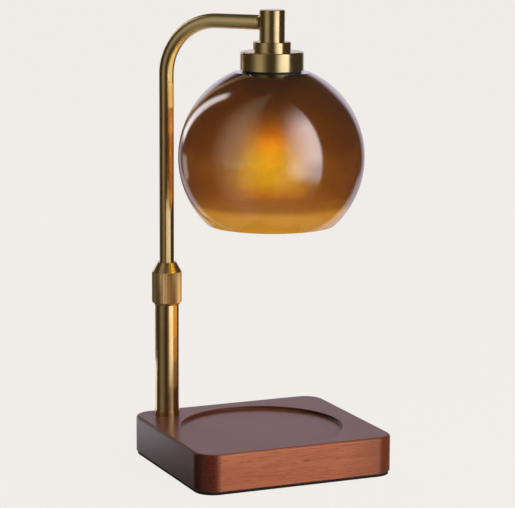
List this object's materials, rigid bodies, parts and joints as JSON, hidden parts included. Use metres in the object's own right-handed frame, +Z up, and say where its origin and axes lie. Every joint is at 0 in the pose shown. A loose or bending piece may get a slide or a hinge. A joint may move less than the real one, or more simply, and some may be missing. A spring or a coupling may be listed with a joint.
{
  "type": "candle warmer lamp",
  "caption": "Table lamp that melts a candle from above: wood base with a round candle seat, sliding and swinging brass column, amber glass globe with a halogen bulb.",
  "frame": {"origin": "on the table, under the middle of the wood base (the rest_face mount)", "axes": "+X along the wide front of the base to the right, +Y to the back, +Z up along the column"},
  "size_m": [0.15, 0.1437, 0.328],
  "materials": {
    "walnut": "walnut stain under satin lacquer",
    "black_foam": "matt closed-cell foam",
    "black_steel": "matt black paint",
    "zinc_steel": "zinc plated",
    "ballast_iron": "raw iron",
    "black_plastic": "moulded, matt",
    "white_plastic": "moulded, matt",
    "lead_silicone": "silicone insulation",
    "satin_brass": "brushed and lacquered, antique tone",
    "knurled_brass": "straight knurl, satin",
    "sleeve_brass": "turned, plain",
    "contact_brass": "plain",
    "spring_steel": "oiled",
    "nylon": "natural nylon",
    "ceramic": "unglazed steatite",
    "black_rubber": "silicone rubber",
    "amber_glass": "blown, dark amber, clear",
    "reflector_glass": "faceted, reflective coat",
    "clear_glass": "clear",
    "pin_metal": "turned",
    "tungsten": "coiled wire"
  },
  "bodies": {
    "stand": {"base_block": "walnut", "base_pad": "black_foam", "base_cover": "black_steel", "cover_screws": "zinc_steel", "ballast_plate": "ballast_iron", "ballast_screws": "zinc_steel", "cord_gland": "black_plastic", "gland_nut": "black_plastic", "terminal_block": "white_plastic", "terminal_screws": "zinc_steel", "base_leads": "lead_silicone", "column_nipple": "zinc_steel", "column_washer": "zinc_steel", "column_nut": "zinc_steel", "foot_ring": "satin_brass", "lower_tube": "satin_brass", "tube_bush": "nylon", "clamp_collet": "nylon"},
    "collar": {"lock_collar": "knurled_brass"},
    "slider": {"guide_bush": "nylon"},
    "arm": {"guide_clips": "spring_steel", "arm_tube": "satin_brass", "arm_leads": "lead_silicone", "head_tube": "satin_brass", "neck_ring": "satin_brass", "head_nipple": "zinc_steel", "socket_cap": "satin_brass", "holder_sleeve": "sleeve_brass", "holder_bracket": "zinc_steel", "head_nut": "zinc_steel", "holder_screws": "zinc_steel", "lamp_holder": "ceramic", "holder_contacts": "contact_brass", "shade_gasket": "black_rubber", "glass_shade": "amber_glass", "shade_ring": "sleeve_brass"},
    "bulb": {"bulb_base": "ceramic", "bulb_pins": "pin_metal", "bulb_reflector": "reflector_glass", "bulb_lens": "clear_glass", "bulb_capsule": "clear_glass", "bulb_filament": "tungsten"}
  },
  "joints": [
    {"name": "height_slide", "type": "slide", "parent": "stand", "child": "slider", "axis": [0, 0, 1], "range_m": [-0.028, 0.03]},
    {"name": "arm_swing", "type": "hinge", "parent": "slider", "child": "arm", "pos_m": [-0.0525, 0.053, 0.2], "axis": [0, 0, 1], "range_deg": [-90, 90]},
    {"name": "collar_turn", "type": "hinge", "parent": "stand", "child": "collar", "pos_m": [-0.0525, 0.053, 0.1247], "axis": [0, 0, 1], "range_deg": [0, 180]},
    {"name": "bulb_twist", "type": "hinge", "parent": "arm", "child": "bulb", "pos_m": [0.00298, -0.00846, 0.2495], "axis": [0, 0, -1], "range_deg": [0, 40]}
  ]
}
